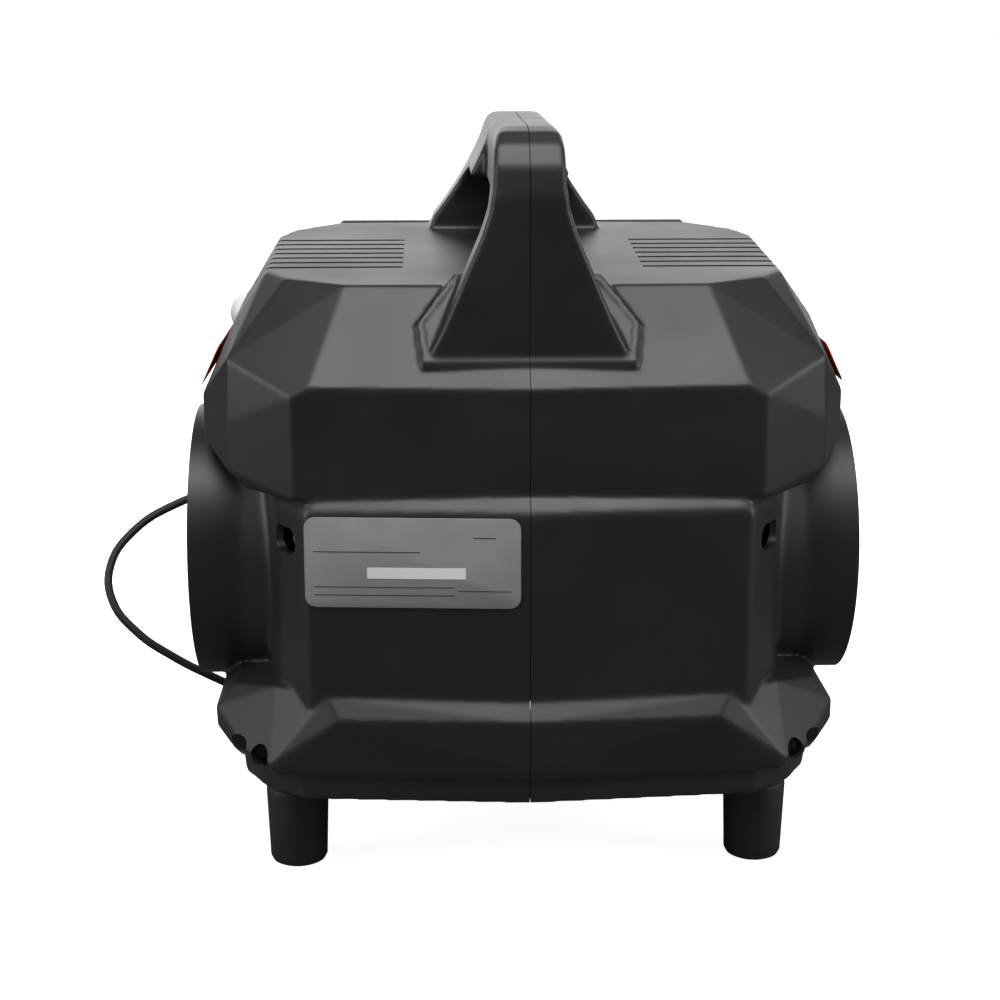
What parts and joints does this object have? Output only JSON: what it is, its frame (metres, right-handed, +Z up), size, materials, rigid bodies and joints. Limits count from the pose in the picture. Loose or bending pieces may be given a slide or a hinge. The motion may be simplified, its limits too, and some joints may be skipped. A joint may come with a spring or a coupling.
{
  "type": "air compressor",
  "caption": "Portable silent air compressor in a black moulded case with a top handle, round side covers, rubber feet, gauges and a mains lead.",
  "frame": {"origin": "on the floor under the middle of the case", "axes": "+Z up, +Y towards the control end, +X to the right as seen from the rating plate end"},
  "size_m": [0.4597, 0.3994, 0.4041],
  "materials": {
    "case_plastic": "fine moulded texture, black ABS",
    "panel_plastic": "fine texture, dark grey ABS",
    "bolt_steel": "zinc plated",
    "label_foil": "satin printed foil",
    "decal_orange": "gloss vinyl film",
    "foot_rubber": "matt black rubber",
    "gauge_chrome": "bright plated",
    "dial_white": "printed white dial",
    "needle_red": "red paint",
    "clear_lens": "clear moulded polycarbonate",
    "regulator_alloy": "die-cast",
    "knob_plastic": "fine texture",
    "valve_brass": "turned brass",
    "coupler_steel": "nickel plated, turned",
    "switch_black": "gloss nylon",
    "rocker_red": "gloss red",
    "ring_steel": "spring wire",
    "filter_plastic": "milky translucent",
    "tank_paint": "satin black paint",
    "bracket_steel": "galvanised",
    "mount_rubber": "black rubber",
    "stator_metal": "grey paint",
    "shaft_steel": "ground",
    "fan_plastic": "natural nylon",
    "cast_alloy": "die-cast",
    "piston_alloy": "machined",
    "control_plastic": "black plastic",
    "tube_copper": "copper tube",
    "capacitor_plastic": "white plastic",
    "cord_rubber": "black sheath",
    "plug_plastic": "moulded black"
  },
  "bodies": {
    "case": {"left_shell": "case_plastic", "right_shell": "case_plastic", "left_side_cover": "case_plastic", "right_side_cover": "case_plastic", "case_bolts": "bolt_steel", "case_nuts": "bolt_steel", "rating_plate": "label_foil", "side_decals": "decal_orange", "rear_left_foot": "foot_rubber", "rear_right_foot": "foot_rubber", "front_left_foot": "foot_rubber", "front_right_foot": "foot_rubber", "foot_screws": "bolt_steel", "control_panel": "panel_plastic", "panel_screws": "bolt_steel", "tank_gauge_case": "gauge_chrome", "tank_gauge_dial": "dial_white", "tank_gauge_lens": "clear_lens", "outlet_gauge_case": "gauge_chrome", "outlet_gauge_dial": "dial_white", "outlet_gauge_lens": "clear_lens", "regulator_body": "regulator_alloy", "coupler_body": "valve_brass", "switch_housing": "switch_black", "safety_valve": "valve_brass", "drain_valve": "valve_brass", "intake_filter": "filter_plastic", "tank": "tank_paint", "tank_brackets": "bracket_steel", "pump_plate": "bracket_steel", "rubber_mounts": "mount_rubber", "motor_stator": "stator_metal", "left_crankcase": "cast_alloy", "right_crankcase": "cast_alloy", "left_cylinder": "cast_alloy", "right_cylinder": "cast_alloy", "left_head": "cast_alloy", "right_head": "cast_alloy", "manifold": "cast_alloy", "pressure_switch": "control_plastic", "check_valve": "valve_brass", "discharge_tube": "tube_copper", "run_capacitor": "capacitor_plastic", "strain_relief": "cord_rubber", "cord_run": "cord_rubber", "cord_coil": "cord_rubber", "power_plug": "plug_plastic"},
    "tank_needle": {"tank_gauge_needle": "needle_red"},
    "outlet_needle": {"outlet_gauge_needle": "needle_red"},
    "knob": {"regulator_knob": "knob_plastic"},
    "sleeve": {"coupler_sleeve": "coupler_steel"},
    "rocker": {"switch_rocker": "rocker_red"},
    "ring": {"safety_ring": "ring_steel"},
    "drain": {"drain_knob": "valve_brass"},
    "rotor": {"rotor_shaft": "shaft_steel", "left_fan": "fan_plastic", "right_fan": "fan_plastic"},
    "left_piston_body": {"left_piston": "piston_alloy"},
    "right_piston_body": {"right_piston": "piston_alloy"}
  },
  "joints": [
    {"name": "tank_gauge_sweep", "type": "hinge", "parent": "case", "child": "tank_needle", "pos_m": [0.057, 0.12123, 0.30572], "axis": [0, 0.9063, 0.4226], "range_deg": [-270, 0], "stiffness_Nm_per_rad": 0.0002},
    {"name": "outlet_gauge_sweep", "type": "hinge", "parent": "case", "child": "outlet_needle", "pos_m": [-0.057, 0.12123, 0.30572], "axis": [0, 0.9063, 0.4226], "range_deg": [-270, 0], "stiffness_Nm_per_rad": 0.0002},
    {"name": "regulator_turn", "type": "hinge", "parent": "case", "child": "knob", "pos_m": [0, 0.12377, 0.30028], "axis": [0, 0.9063, 0.4226], "range_deg": [0, 1440]},
    {"name": "coupler_pull", "type": "slide", "parent": "case", "child": "sleeve", "axis": [0, -1, 0], "range_m": [0, 0.004], "stiffness_N_per_m": 600},
    {"name": "switch_rock", "type": "hinge", "parent": "case", "child": "rocker", "pos_m": [-0.066, 0.13194, 0.244], "axis": [1, 0, 0], "range_deg": [-20, 0]},
    {"name": "safety_pull", "type": "slide", "parent": "case", "child": "ring", "axis": [0, 1, 0], "range_m": [0, 0.003], "stiffness_N_per_m": 800},
    {"name": "drain_turn", "type": "hinge", "parent": "case", "child": "drain", "pos_m": [0, 0, 0.038], "axis": [0, 0, 1], "range_deg": [0, 540]},
    {"name": "motor_spin", "type": "hinge", "parent": "case", "child": "rotor", "pos_m": [0, -0.08, 0.251], "axis": [1, 0, 0], "continuous": true},
    {"name": "left_piston_travel", "type": "slide", "parent": "case", "child": "left_piston_body", "axis": [0, 0.9703, 0.2419], "range_m": [-0.007, 0.007]},
    {"name": "right_piston_travel", "type": "slide", "parent": "case", "child": "right_piston_body", "axis": [0, 0.9703, 0.2419], "range_m": [-0.007, 0.007]}
  ]
}
